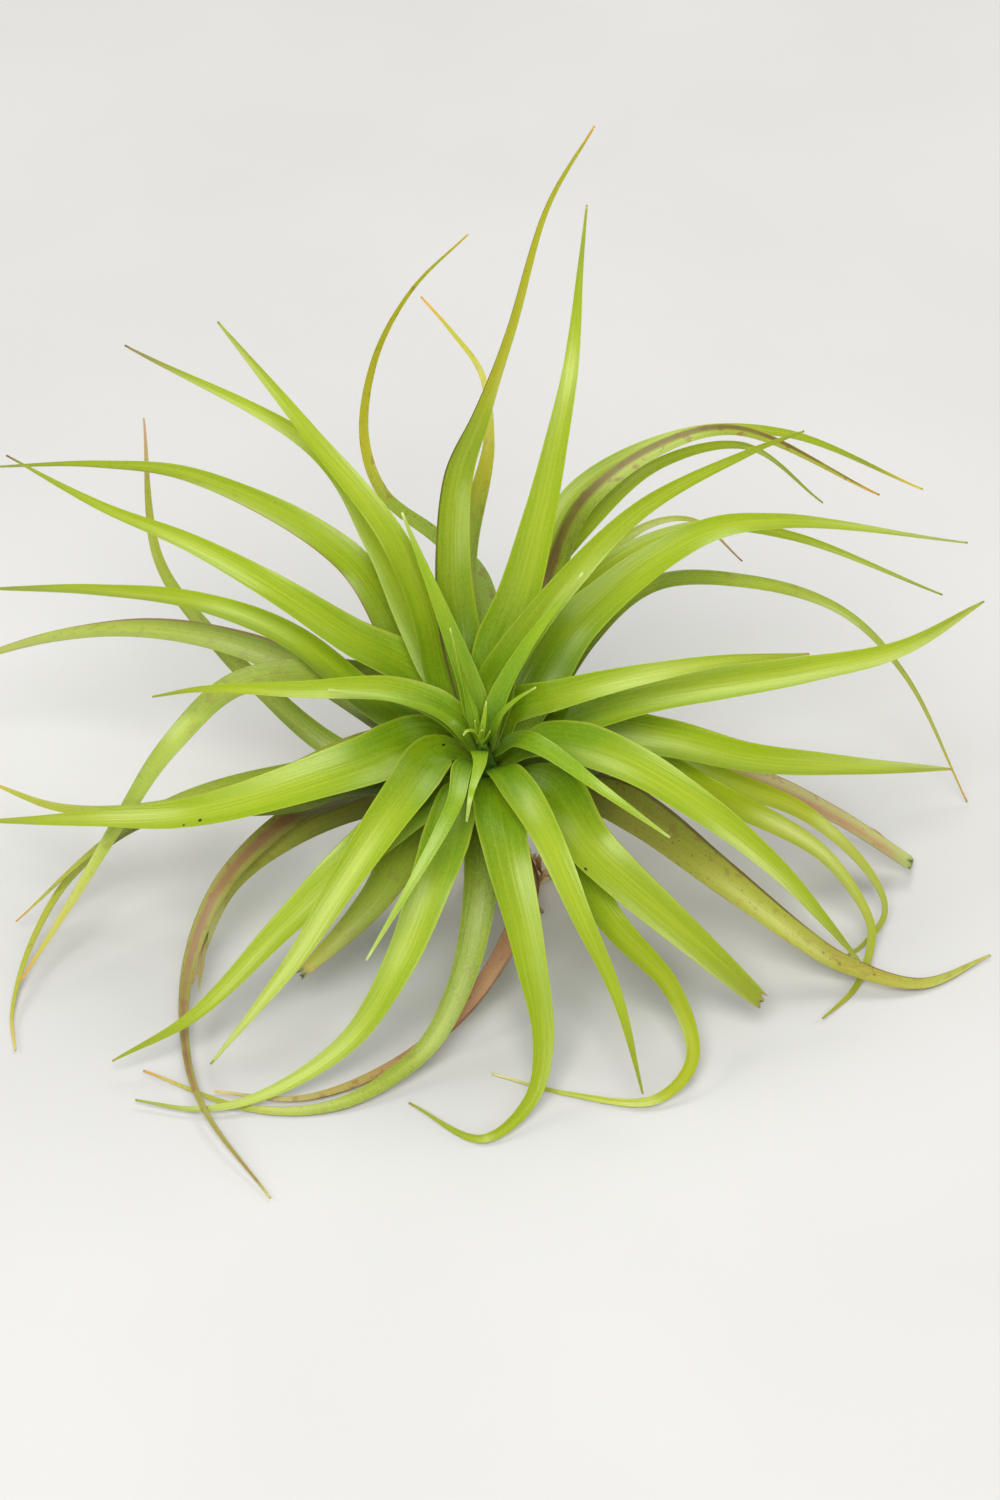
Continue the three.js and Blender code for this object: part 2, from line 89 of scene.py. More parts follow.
# How fast a blade narrows past its widest place: above 1 it is slim for most of its length,
# below 1 broad.
TAPER = 1.05
TAPERS = {
    "leaf_14_right": 0.85, "leaf_15_back": 1.35, "leaf_16_back_left": 0.95,
    "leaf_18_front": 1.3, "leaf_19_front_right": 0.8, "leaf_20_back_right": 1.45,
    "leaf_21_right": 0.85, "leaf_22_back_left": 1.3, "leaf_23_front_left": 1.35,
    "leaf_24_front_left": 1.0, "leaf_25_front_right": 1.6, "leaf_26_right": 0.85,
    "leaf_28_back_left": 1.35, "leaf_30_left": 0.8, "leaf_32_front_left": 1.4,
    "leaf_37_left": 0.95, "leaf_38_left": 0.8,
}
# Blades that pass from a broad lower part into a narrow strand: where, and the share of the
# width that is left.
WAISTS = {
    "leaf_29_back": (0.53, 0.5), "leaf_45_back": (0.66, 0.55),
    "leaf_50_front_left": (0.6, 0.62),
}
NO_WAIST = (1.2, 1)
WAIST_LENGTH = 0.1

# Each leaf: node, kind, height where it leaves the stem, full width, and the way of its middle
# line.
LEAVES = [
    ("leaf_01_front", "young", 56.4, 4.5, [(-11, -19, 60), (-11, -26, 62), (-13, -37, 62),
     (-14, -41, 57)]),
    ("leaf_02_right", "young", 56.95, 3.8, [(-6, -12.4, 66), (-2, -13.3, 72), (2.7, -14.6, 77)]),
    ("leaf_03_back", "young", 57.2, 4.6, [(-12, -12, 62), (-14, -10, 70), (-16, -9, 79),
     (-18, -8, 90)]),
    ("leaf_04_right", "young", 53.6, 6, [(-2, -13, 59), (5, -20, 62), (18, -32, 60),
     (35, -40, 51)]),
    ("leaf_05_left", "young", 51.9, 6.5, [(-18, -10, 62.5), (-28, -9, 67.5), (-48, -8, 71)]),
    ("leaf_06_back_right", "young", 55.6, 6, [(-6.8, -8.5, 67), (0, -5, 81), (14, 1, 100)]),
    ("leaf_07_front_left", "young", 52.8, 5.5, [(-15, -23, 59), (-17, -37, 59), (-25, -50, 50),
     (-38, -64, 33)]),
    ("leaf_08_back", "young", 53.6, 8, [(-13.5, -4.4, 68.5), (-21, 5, 87), (-30, 20, 104)]),
    ("leaf_09_right", "bright", 50.3, 9.5, [(-4, -1.5, 58.8), (9, -6, 68), (28, -6, 74),
     (48, -3, 76), (70, 1, 75)]),
    ("leaf_10_back_right", "bright", 52.8, 9.5, [(-8.5, -1.5, 66), (-4, -1, 76), (9, 7, 91),
     (28, 21, 104), (56, 40, 108), (70, 49, 108)]),
    ("leaf_11_front_right", "bright", 50.5, 10.5, [(-5, -22, 56), (4, -42, 55), (13, -59, 43),
     (22, -71, 27), (28, -87, 11)]),
    ("leaf_12_left", "bright", 50.1, 10.5, [(-18, -5, 59.5), (-31, -1, 64), (-55, -5, 68),
     (-80, -2, 66), (-92, -1, 63)]),
    ("leaf_13_front_left", "bright", 49.3, 12.8, [(-20, -11, 54), (-30, -28, 53), (-43, -46, 43),
     (-56, -62, 30), (-75, -82, 16)]),
    ("leaf_14_right", "bright", 49.2, 14.5, [(5, -11, 56), (23, -20, 58), (43, -30, 51),
     (62, -37, 37), (83, -46, 15)]),
    ("leaf_15_back", "bright", 51.6, 13.5, [(-7, 4, 71), (-1.2, 11, 86), (10.6, 33, 134),
     (13.6, 56, 151), (15.3, 71, 160)]),
    ("leaf_16_back_left", "bright", 47.9, 11, [(-20, 6, 60), (-25, 15, 78), (-34, 22, 97),
     (-53, 39, 114), (-77, 71, 126)]),
    ("leaf_17_left", "bright", 45.6, 16, [(-23, -5.4, 52.2), (-40, -18, 55), (-80, -24, 45),
     (-106, -16, 36), (-138, -9, 29)]),
    ("leaf_18_front", "bright", 46.4, 13.5, [(-8, -19, 51), (-5, -43, 50), (0.5, -61, 34),
     (4.2, -74, 15), (1.2, -83, 5), (-10, -92.3, 1.3), (-28, -80, 0.9)]),
    ("leaf_19_front_right", "bright", 45.2, 16, [(4, -15, 47.5), (15.8, -36.6, 44),
     (32.8, -46.5, 32), (58.4, -54.5, 9.6)]),
    ("leaf_20_back_right", "bright", 47.5, 15, [(4, 8, 58), (15, 17, 73), (44, 32, 88),
     (64, 39, 87), (115, 56, 68)]),
    ("leaf_21_right", "bright", 46.8, 16, [(4, -1, 51), (24, -1, 61), (68, 4, 66.3),
     (94, 13, 66.6), (116, 27, 71.2)]),
    ("leaf_22_back_left", "bright", 43.9, 14.2, [(-26, 13.6, 57), (-44, 18, 66.4), (-64, 24, 78),
     (-84, 36, 82.2), (-108, 52, 82.4), (-135, 78, 80)]),
    ("leaf_23_front_left", "bright", 44, 13, [(-15, -21, 48), (-21.3, -43, 43), (-29.5, -58, 28),
     (-42, -70, 12.6), (-62, -79.5, 3.6), (-78, -83, 1.8), (-94, -80, 1.8)]),
    ("leaf_24_front_left", "bright", 42.8, 15, [(-21, -18, 45.4), (-39, -35.5, 42.3),
     (-58, -47.8, 29), (-80, -62, 12.7), (-100.2, -70, 5)]),
    ("leaf_25_front_right", "bright", 41, 11, [(4, -24, 43), (21, -48, 30), (35.5, -55, 15),
     (40.5, -70.5, 6), (31.5, -80, 2), (11, -77, 0.8), (-8, -70, 0.8)]),
    ("leaf_26_right", "bright", 42.3, 16.5, [(17, 0, 49), (34, -3, 50), (56, -5.5, 46),
     (82, 1.4, 38), (110, 13, 27.6)]),
    ("leaf_27_back_left", "bright", 46.8, 11.5, [(-26, 18.5, 65.5), (-37, 34, 84),
     (-51, 49, 100.5), (-102, 80, 113)]),
    ("leaf_28_back_left", "bright", 42.2, 13.5, [(-30, 24.4, 57.2), (-45, 36, 78), (-83, 57, 87.6),
     (-110, 71, 82), (-143, 84, 72)]),
    ("leaf_29_back", "bright", 49, 11.5, [(-11.9, 0.6, 57.5), (-16, 11, 71), (-18, 19, 90),
     (-16.5, 30, 108), (-10.5, 34, 124), (-3.5, 44, 141), (5.5, 62, 165), (17, 78, 178)]),
    ("leaf_30_left", "bright", 40.1, 12, [(-40, 9.5, 53.4), (-59, 21, 63.7), (-82, 30, 67.8),
     (-109, 43, 62), (-141, 60, 50)]),
    ("leaf_31_left", "olive", 39, 10, [(-31, 1, 46), (-66, -13.4, 43.3), (-94, -12.2, 35.4),
     (-117, -3.4, 28.5), (-139, 13, 24)]),
    ("leaf_32_front_left", "olive", 40, 9, [(-11, -18, 41), (-11, -40, 31), (-16, -56, 16),
     (-25, -68, 6), (-45, -81, 1.4), (-66, -82, 0.9), (-93, -69, 0.8)]),
    ("leaf_33_front_left", "olive", 37.4, 17, [(-24, -21.5, 37), (-37, -38, 27.2),
     (-55.5, -45.5, 10)]),
    ("leaf_34_right", "olive", 34.3, 17.2, [(19, -10, 36.4), (29, -15, 34), (49, -26, 24),
     (69, -33, 10.6), (79, -36, 5.2), (99, -39, 1), (118, -28, 0.8)]),
    ("leaf_35_right", "bright", 36.6, 13, [(24, -2, 43), (50.4, -12.8, 38), (75.2, -13.8, 21.5),
     (87, -22.6, 7.5), (87.2, -27.6, 4.2), (83, -39.5, 1.1), (74, -51, 1)]),
    ("leaf_36_right", "bright", 35.6, 13, [(22, 8, 40), (48.5, -2.8, 37), (71.2, -5.8, 28),
     (88.8, -10.6, 11), (91.8, -15.8, 4.6), (86, -24.5, 1.4), (79, -30.5, 0.9)]),
    ("leaf_37_left", "olive", 37.6, 10.5, [(-34, 19, 48.5), (-49, 16, 56.2), (-72, 10, 57.6),
     (-88, -3.5, 49.4), (-102, -9.5, 28.5), (-112.5, -23.2, 16.8), (-125.4, -42.4, 5.2)]),
    ("leaf_38_left", "olive", 36.4, 13.5, [(-43.5, 20, 44.9), (-54, 24, 49.3), (-75, 31, 54),
     (-96, 38, 53), (-123, 49, 42), (-157, 56, 25)]),
    ("leaf_39_back_right", "bright", 39.4, 7, [(-3, 4, 43.1), (9, 38, 58), (27, 48, 71),
     (48, 51, 77), (69, 52, 73), (110, 57, 50.3)]),
    ("leaf_40_back_right", "olive", 38.2, 7.5, [(13, 45, 56.5), (31, 66, 65), (45, 71, 64),
     (58, 68, 53)]),
    ("leaf_41_back_right", "bright", 41.3, 7, [(-4, 4, 45.9), (1.6, 38.4, 66.6),
     (12.8, 55.7, 84.1), (40, 62, 97.5), (66, 64, 97), (104, 69, 75.7)]),
    ("leaf_42_back_right", "olive", 43.1, 8, [(-3, 4, 48.6), (7, 34.4, 70.4), (15, 40, 91.4),
     (32.5, 47, 103.4), (52, 51, 107), (91, 55, 84)]),
    ("leaf_43_back_right", "bright", 40.3, 7, [(-3, 4, 44.3), (4.2, 41.2, 63.6), (17, 45.4, 82.4),
     (34, 53, 95), (56, 61, 95), (78, 67, 72.8)]),
    ("leaf_44_right", "olive", 37.3, 6.5, [(17, 36, 52), (34, 46, 62), (58, 43, 65), (82, 44, 55),
     (100, 42, 35), (118, 31, 1)]),
    ("leaf_45_back", "olive", 44.9, 9, [(-8.4, 3.8, 51), (-15, 38, 73), (-8.8, 52, 103),
     (-10.5, 62, 116), (-18, 71.5, 122.5), (-26, 81, 127)]),
    ("leaf_46_back", "olive", 34.2, 6, [(-11, 49, 62), (-22.5, 56, 70), (-36, 60, 80.5),
     (-41, 67, 93), (-38, 72, 114), (-28, 74, 134), (-14, 77, 148)]),
    ("leaf_47_back_left", "olive", 27.5, 10.5, [(-38, 13, 27), (-51, 21, 28.5), (-66, 33, 35),
     (-81, 46, 44), (-96, 65, 56), (-100, 91, 83)]),
    ("leaf_48_left", "olive", 35.5, 10, [(-36, 0, 38), (-64, -3, 38), (-87, -5, 32),
     (-106, -8, 21), (-129, -19, 4)]),
    ("leaf_49_left", "olive", 33, 9, [(-41, -2, 34), (-59, -8, 33), (-93.5, -4.5, 26),
     (-114, -11, 13), (-123.5, -27.5, 5.5), (-127, -49, 1.2), (-125, -62, 0.8)]),
    ("leaf_50_front_left", "dull", 29.6, 9, [(-38, 4, 29), (-49, -3, 30), (-59, -10, 30),
     (-75, -24, 21), (-83, -40, 8.5), (-83, -62, 4), (-77, -85, 4), (-60, -111, 0.8)]),
    ("leaf_51_front_left", "olive", 24.4, 11.5, [(-31, 3, 24.5), (-56, -11, 26), (-73, -21, 17),
     (-83, -41, 3)]),
    ("leaf_52_front_left", "dull", 27, 6, [(-2, -21, 30), (1, -29, 26), (-5, -41, 15),
     (-17, -56, 6), (-33, -69, 2), (-54, -79, 1.4), (-75, -78, 2.8)]),
    ("leaf_53_right", "dull", 30, 12, [(32, 9, 36), (57, 7.6, 29), (80, 8.6, 15),
     (100.5, 3.4, 2.6)]),
    ("leaf_54_back", "dull", 32.6, 4.5, [(11, 50, 52), (22, 67, 65)]),
    ("leaf_55_back_left", "dry", 13, 8, [(-8, 12, 15), (-16, 32, 10), (-24, 52, 3.4),
     (-28, 62, 0.9)]),
    ("leaf_56_back_right", "dry", 16.2, 7, [(-2, 9, 17.6), (12, 28, 12.5), (24, 42, 4),
     (30, 48, 0.9)]),
]

# ---------------------------------------------------------------- looks

# Tones that lie over the colour of a blade.
VEIN = (0.46, 0.50, 0.05)
# painted shade: a darker tone for the dips between the veins
FURROW_SHADE = (0.45, 0.60, 0.10)  # multiplied into the dips between the veins
CLOUD = (0.30, 0.40, 0.0)
# painted highlight: pale tone of the streaks along the middle of a blade
HIGHLIGHT_STREAK = (0.56, 0.62, 0.06)
GOLD = (0.46, 0.42, 0.015)
MOTTLE = (0.34, 0.46, 0.0)
BLOOM = (0.70, 0.76, 0.36)
BLOTCH = (0.24, 0.075, 0.035)
RUST = (0.26, 0.10, 0.035)
MAROON = (0.105, 0.028, 0.018)
DARK_MARK = (0.010, 0.006, 0.004)
SHADE = (0.02, 0.04, 0.004)

# For each kind of leaf: colour along the blade from the crown to the tip, tones of the margins
# and of the dried tip, and the share of the length that is dry. Then how strongly each layer
# shows: silvery bloom, rusty wear of the margins, rust specks, dark blotches, painted highlight
# streaks along the middle, and the green "sap" of veins and mottling. "rough" is the roughness of
# the skin.
KINDS = {
    "young": {
        "along": [(0.0, (0.045, 0.125, 0.0)), (0.35, (0.14, 0.28, 0.0)),
                  (0.75, (0.215, 0.36, 0.002)), (0.97, (0.34, 0.44, 0.07))],
        "margin": (0.36, 0.46, 0.03), "tip": (0.50, 0.60, 0.22), "tip_share": 0.05,
        "bloom": 0.08, "wear": 0.0, "specks": 0.0, "blotch": 0.0, "painted_highlight": 0.12, "sap": 1.0,
        "rough": 0.34,
    },
    "bright": {
        "along": [(0.0, (0.045, 0.12, 0.0)), (0.14, (0.125, 0.25, 0.0)),
                  (0.42, (0.245, 0.36, 0.0)), (0.78, (0.27, 0.35, 0.006)),
                  (0.97, (0.25, 0.28, 0.02))],
        "margin": (0.38, 0.44, 0.03), "tip": (0.38, 0.27, 0.05), "tip_share": 0.012,
        "bloom": 0.06, "wear": 0.10, "specks": 0.05, "blotch": 0.0, "painted_highlight": 0.30, "sap": 1.0,
        "rough": 0.31,
    },
    "olive": {
        "along": [(0.0, (0.07, 0.12, 0.001)), (0.3, (0.16, 0.24, 0.008)),
                  (0.65, (0.25, 0.32, 0.025)), (0.9, (0.38, 0.38, 0.04)),
                  (0.98, (0.58, 0.40, 0.06))],
        "margin": (0.30, 0.31, 0.05), "tip": (0.56, 0.30, 0.05), "tip_share": 0.06,
        "bloom": 0.12, "wear": 0.45, "specks": 0.35, "blotch": 0.2, "painted_highlight": 0.2, "sap": 1.0,
        "rough": 0.40,
    },
    "dull": {
        "along": [(0.0, (0.10, 0.12, 0.006)), (0.35, (0.20, 0.24, 0.022)),
                  (0.7, (0.31, 0.30, 0.045)), (0.95, (0.50, 0.40, 0.08))],
        "margin": (0.24, 0.12, 0.045), "tip": (0.62, 0.42, 0.10), "tip_share": 0.06,
        "bloom": 0.12, "wear": 0.7, "specks": 0.4, "blotch": 0.5, "painted_highlight": 0.15, "sap": 0.7,
        "rough": 0.46,
    },
    "dry": {
        "along": [(0.0, (0.30, 0.17, 0.07)), (0.5, (0.52, 0.37, 0.19)),
                  (0.95, (0.36, 0.21, 0.09))],
        "margin": (0.58, 0.45, 0.27), "tip": (0.20, 0.11, 0.05), "tip_share": 0.10,
        "bloom": 0.0, "wear": 1.0, "specks": 0.4, "blotch": 0.6, "painted_highlight": 0.0, "sap": 0.1,
        "rough": 0.8,
    },
}

# What single leaves show beyond their kind. A stripe is (place across the blade 0..1, width,
# tone), a mark (place across and along in millimetres, radius). "gold" gilds the blade more and
# more towards its tip, "gold_end" only past its middle, and "shade" below 1 darkens it.
OWN_LOOKS = {
    "leaf_13_front_left": {"marks": [(-1.5, 10.0, 0.5)]},
    "leaf_16_back_left": {"tip_share": 0.006},
    "leaf_17_left": {"marks": [(2.5, 78.0, 0.6), (3.2, 82.0, 0.4)]},
    "leaf_19_front_right": {"marks": [(-5.3, 38.7, 0.55), (1.0, 97.0, 0.5)]},
    "leaf_22_back_left": {"tip": (0.22, 0.09, 0.04), "tip_share": 0.05},
    "leaf_25_front_right": {"gold": 0.3, "tip": (0.60, 0.56, 0.22), "tip_share": 0.10},
    "leaf_27_back_left": {"tip": (0.20, 0.16, 0.03), "tip_share": 0.16, "wear": 0.4},
    "leaf_28_back_left": {"stripe": (0.97, 0.05, RUST), "specks": 0.3, "blotch": 0.12,
                          "shade": 0.9},
    "leaf_29_back": {"stripe": (0.97, 0.07, MAROON), "shade": 0.88, "gold_end": 0.8,
                     "specks": 0.5, "tip": (0.62, 0.34, 0.05), "tip_share": 0.05},
    "leaf_33_front_left": {"stripe": (0.99, 0.04, RUST), "tip": (0.24, 0.22, 0.10),
                           "wear": 0.2},
    "leaf_34_right": {"stripe": (0.98, 0.07, MAROON), "specks": 0.9, "blotch": 0.3, "wear": 0.8,
                      "tip": (0.50, 0.46, 0.10), "tip_share": 0.03,
                      "along": [(0.0, (0.17, 0.12, 0.03)), (0.25, (0.29, 0.27, 0.04)),
                                (0.55, (0.45, 0.44, 0.05)), (0.76, (0.36, 0.28, 0.04)),
                                (0.88, (0.40, 0.38, 0.06))]},
    "leaf_35_right": {"gold": 0.35},
    "leaf_36_right": {"gold": 0.35},
    "leaf_37_left": {"along": [(0.0, (0.10, 0.14, 0.01)), (0.35, (0.24, 0.32, 0.04)),
                               (0.7, (0.34, 0.44, 0.07)), (0.95, (0.48, 0.42, 0.08))]},
    "leaf_38_left": {"stripe": (0.03, 0.08, (0.34, 0.16, 0.12)),
                     "along": [(0.0, (0.13, 0.18, 0.02)), (0.35, (0.25, 0.33, 0.05)),
                               (0.7, (0.36, 0.43, 0.08)), (0.95, (0.42, 0.42, 0.10))]},
    "leaf_40_back_right": {"tip": (0.34, 0.16, 0.05), "tip_share": 0.2},
    "leaf_41_back_right": {"tip": (0.66, 0.50, 0.06), "tip_share": 0.12},
    "leaf_42_back_right": {"stripe": (0.72, 0.30, (0.15, 0.06, 0.03)), "blotch": 0.6},
    "leaf_45_back": {"gold_end": 0.9, "tip": (0.66, 0.36, 0.04), "tip_share": 0.10},
    "leaf_46_back": {"gold_end": 1.0, "specks": 0.6, "blotch": 0.4, "tip": (0.66, 0.42, 0.04),
                     "along": [(0.0, (0.10, 0.16, 0.01)), (0.4, (0.22, 0.34, 0.04)),
                               (0.8, (0.40, 0.40, 0.03))]},
    "leaf_47_back_left": {"tip": (0.50, 0.30, 0.20), "tip_share": 0.14},
    "leaf_49_left": {"gold": 0.4, "tip": (0.62, 0.46, 0.08), "tip_share": 0.10},
    "leaf_50_front_left": {"stripe": (0.45, 0.32, (0.27, 0.11, 0.07)),
                           "tip": (0.48, 0.42, 0.09), "tip_share": 0.04, "wear": 0.3,
                           "sap": 0.35,
                           "along": [(0.0, (0.12, 0.12, 0.02)), (0.3, (0.25, 0.22, 0.05)),
                                     (0.7, (0.24, 0.22, 0.04)), (0.95, (0.30, 0.28, 0.06))]},
    "leaf_51_front_left": {"along": [(0.0, (0.14, 0.12, 0.03)), (0.3, (0.26, 0.25, 0.05)),
                                     (0.7, (0.34, 0.36, 0.06)), (0.95, (0.40, 0.36, 0.10))]},
    "leaf_52_front_left": {"stripe": (0.95, 0.14, MAROON), "sap": 0.15,
                           "along": [(0.0, (0.12, 0.10, 0.02)), (0.25, (0.40, 0.18, 0.11)),
                                     (0.5, (0.45, 0.17, 0.13)), (0.8, (0.40, 0.30, 0.08))]},
    "leaf_53_right": {"stripe": (0.35, 0.40, (0.42, 0.17, 0.11)), "blotch": 0.5, "wear": 1.0,
                      "tip": (0.36, 0.40, 0.10), "tip_share": 0.10,
                      "along": [(0.0, (0.16, 0.13, 0.03)), (0.4, (0.38, 0.27, 0.11)),
                                (0.95, (0.38, 0.32, 0.10))]},
}
GILDED = {"gold": (0.2, 0.6), "gold_end": (0.5, 0.62)}
STRIPE_STRENGTH = 0.8
STRIPE_CORE = 0.3  # share of a stripe's width that shows in full
LANE_STEP = 7.3  # how far apart two blades lie in the noise patterns

LEAF_SKIN = {
    "Subsurface Weight": 0.15, "Subsurface Radius": (0.6, 1.0, 0.1), "Subsurface Scale": 1.0 * MM,
    "Specular IOR Level": 0.5, "Specular Tint": (0.94, 1.0, 0.55, 1.0),
    "Coat Weight": 0.16, "Coat Roughness": 0.30,
}
LEAF_BUMP = (0.55, 0.25 * MM)  # strength and depth
GRIT_SHARE = 0.12  # of the grit in the bumps, next to the veins
GRIT_ROUGHNESS = (-0.07, 0.14)  # added to the roughness: where there is no grit, and with it

WOOD_TONES = [(0.3, (0.34, 0.18, 0.08)), (0.7, (0.68, 0.48, 0.29))]
FRESH_TONES = [(0.3, (0.04, 0.11, 0.002)), (0.7, (0.10, 0.20, 0.006))]
GREEN_FROM = (26 * MM, 42 * MM)  # heights between which bark passes into green stem
GREEN_DRIFT = 8 * MM
BARK_BUMP = (0.8, 0.5 * MM)
BARK_ROUGHNESS = (0.65, 0.1)  # least, and what patches add
FLOOR_TONES = [(0.3, (0.60, 0.59, 0.57)), (0.7, (0.63, 0.62, 0.60))]
FLOOR_ROUGHNESS = 0.75

# The colour sockets of a Mix node.
MIX_FACTOR, MIX_A, MIX_B = 0, 6, 7
MIX_RESULT = 2


class Nodes:
    """Short hands for building one material's node tree."""

    def __init__(self, name):
        self.material = bpy.data.materials.new(name)
        self.material.use_nodes = True
        self.tree = self.material.node_tree
        self.shader = self.tree.nodes["Principled BSDF"]

    def new(self, kind, **values):
        node = self.tree.nodes.new(kind)
        for key, value in values.items():
            setattr(node, key, value)
        return node

    def put(self, value, socket):
        if isinstance(value, bpy.types.NodeSocket):
            self.tree.links.new(value, socket)
        else:
            socket.default_value = value

    def math(self, operation, a, b=0.0):
        node = self.new("ShaderNodeMath", operation=operation)
        self.put(a, node.inputs[0])
        self.put(b, node.inputs[1])
        return node.outputs[0]

    def times(self, a, b):
        return self.math("MULTIPLY", a, b)

    def ease(self, value, low, high):
        """0 at `low` and past it, 1 at `high` and past it, smooth between."""
        node = self.new("ShaderNodeMapRange", interpolation_type="SMOOTHSTEP")
        self.put(value, node.inputs["Value"])
        node.inputs["From Min"].default_value = low
        node.inputs["From Max"].default_value = high
        return node.outputs["Result"]

    def vector(self, x, y, z):
        node = self.new("ShaderNodeCombineXYZ")
        for value, socket in zip((x, y, z), node.inputs):
            self.put(value, socket)
        return node.outputs[0]

    def split(self, vector):
        node = self.new("ShaderNodeSeparateXYZ")
        self.put(vector, node.inputs[0])
        return node.outputs

    def noise(self, vector, scale=1.0, detail=2.0, roughness=0.5):
        node = self.new("ShaderNodeTexNoise")
        self.put(vector, node.inputs["Vector"])
        node.inputs["Scale"].default_value = scale
        node.inputs["Detail"].default_value = detail
        node.inputs["Roughness"].default_value = roughness
        return node.outputs["Fac"]

    def blend(self, factor, a, b, how="MIX"):
        node = self.new("ShaderNodeMix", data_type="RGBA", blend_type=how)
        self.put(factor, node.inputs[MIX_FACTOR])
        self.put(colour(a), node.inputs[MIX_A])
        self.put(colour(b), node.inputs[MIX_B])
        return node.outputs[MIX_RESULT]

    def layer(self, base, tone, pattern, reach, strength, how="MIX"):
        """`tone` over `base`, growing as `pattern` passes from one end of `reach` to the other."""
        return self.blend(self.times(self.ease(pattern, *reach), strength), base, tone, how)

    def ramp(self, value, stops):
        node = self.new("ShaderNodeValToRGB")
        node.color_ramp.interpolation = "EASE"
        elements = node.color_ramp.elements
        while len(elements) < len(stops):
            elements.new(0.5)  # its place is set below
        for element, (place, rgb) in zip(elements, stops):
            element.position = place
            element.color = colour(rgb)
        self.put(value, node.inputs[0])
        return node.outputs[0]

    def bump(self, height, strength, distance):
        node = self.new("ShaderNodeBump")
        node.inputs["Strength"].default_value = strength
        node.inputs["Distance"].default_value = distance
        self.put(height, node.inputs["Height"])
        self.tree.links.new(node.outputs[0], self.shader.inputs["Normal"])

    def finish(self, base, roughness, fixed):
        """The material. `fixed` gives the shader's other values."""
        self.put(base, self.shader.inputs["Base Color"])
        self.put(roughness, self.shader.inputs["Roughness"])
        for socket, value in fixed.items():
            self.shader.inputs[socket].default_value = value
        return self.material


def colour(value):
    if isinstance(value, tuple):
        return (*value, 1.0)
    return value


class BladeNodes(Nodes):
    """The node tree of a blade's skin, with the places and the patterns that its layers share."""

    def __init__(self, name, seed):
        super().__init__(name)
        self.lane = LANE_STEP * seed
        self.across, self.along = self.places("blade")
        self.mm_across, self.mm_along = self.places("millimetres")
        centred = self.math("SUBTRACT", self.times(self.across, 2.0), 1.0)
        self.off_middle = self.math("ABSOLUTE", centred)
        self.fine = self.grain(2.6, 0.035, 0.0)
        self.broad = self.grain(0.75, 0.02, 3.1)
        self.cloud = self.grain(0.10, 0.05, 9.7)
        self.grit = self.grain(1.0, 1.0, 0.0, scale=3.2, detail=1.0)
        self.veins = self.math("ADD", self.times(self.fine, 0.55), self.times(self.broad, 0.45))

    def places(self, layer):
        node = self.new("ShaderNodeUVMap", uv_map=layer)
        return self.split(node.outputs[0])[:2]

    def grain(self, across, along, shift, **kind):
        """Noise that changes `across` and `along` times as fast as the place in millimetres."""
        place = self.vector(self.times(self.mm_across, across), self.times(self.mm_along, along),
                            self.lane + shift)
        return self.noise(place, **kind)


def fibre_layers(n, base, look):
    """Veins, painted shade in the furrows between them, soft clouds, and painted highlight streaks
    along the middle.
    """
    sap = look["sap"]
    base = n.layer(base, VEIN, n.veins, (0.46, 0.62), 0.14 * sap)
    # Painted shade in the furrows between the veins.
    base = n.layer(base, FURROW_SHADE, n.veins, (0.50, 0.36), 0.12 * sap, "MULTIPLY")
    base = n.layer(base, CLOUD, n.cloud, (0.42, 0.68), 0.24 * sap)
    # Painted highlight: pale streaks along the middle of the blade, standing in for its satin
    # sheen.
    highlight_band = n.math("ADD", n.times(n.ease(n.fine, 0.42, 0.60), 0.55), 0.45)
    highlight_band = n.times(highlight_band, n.ease(n.off_middle, 0.85, 0.10))
    ends = n.times(n.ease(n.along, 0.16, 0.42), n.ease(n.along, 0.97, 0.7))
    return n.blend(n.times(n.times(highlight_band, ends), look["painted_highlight"]), base, HIGHLIGHT_STREAK)


def skin_layers(n, base, look):
    """Gilding, pale margins, mottling and the fine silvery bloom."""
    for key, reach in GILDED.items():
        if key in look:
            base = n.layer(base, GOLD, n.along, reach, look[key])
    base = n.layer(base, look["margin"], n.off_middle, (0.84, 0.98), 0.45)
    mottle = n.grain(1.0, 0.6, 2.7, scale=1.6, detail=3.0)
    base = n.layer(base, MOTTLE, mottle, (0.40, 0.62), 0.14 * look["sap"])
    return n.layer(base, BLOOM, n.grit, (0.50, 0.66), look["bloom"])


def age_layers(n, base, look):
    """Rust specks, dark blotches and rusty worn margins."""
    spots = n.grain(1.0, 1.0, 5.5, scale=0.85, detail=3.0, roughness=0.6)
    base = n.layer(base, RUST, spots, (0.63, 0.70), look["specks"])
    if look["blotch"]:
        patch = n.grain(1.0, 0.7, 1.9, scale=0.45, detail=4.0)
        base = n.layer(base, BLOTCH, patch, (0.58, 0.66), look["blotch"])
    worn = n.times(n.ease(n.off_middle, 0.90, 1.0), n.ease(n.broad, 0.48, 0.62))
    return n.blend(n.times(worn, look["wear"]), base, RUST)


def stripe_layer(n, base, stripe):
    place, width, tone = stripe
    off = n.math("ABSOLUTE", n.math("SUBTRACT", n.across, place))
    band = n.times(n.ease(off, width, STRIPE_CORE * width), n.ease(n.cloud, 0.25, 0.5))
    return n.blend(n.times(band, STRIPE_STRENGTH), base, tone)


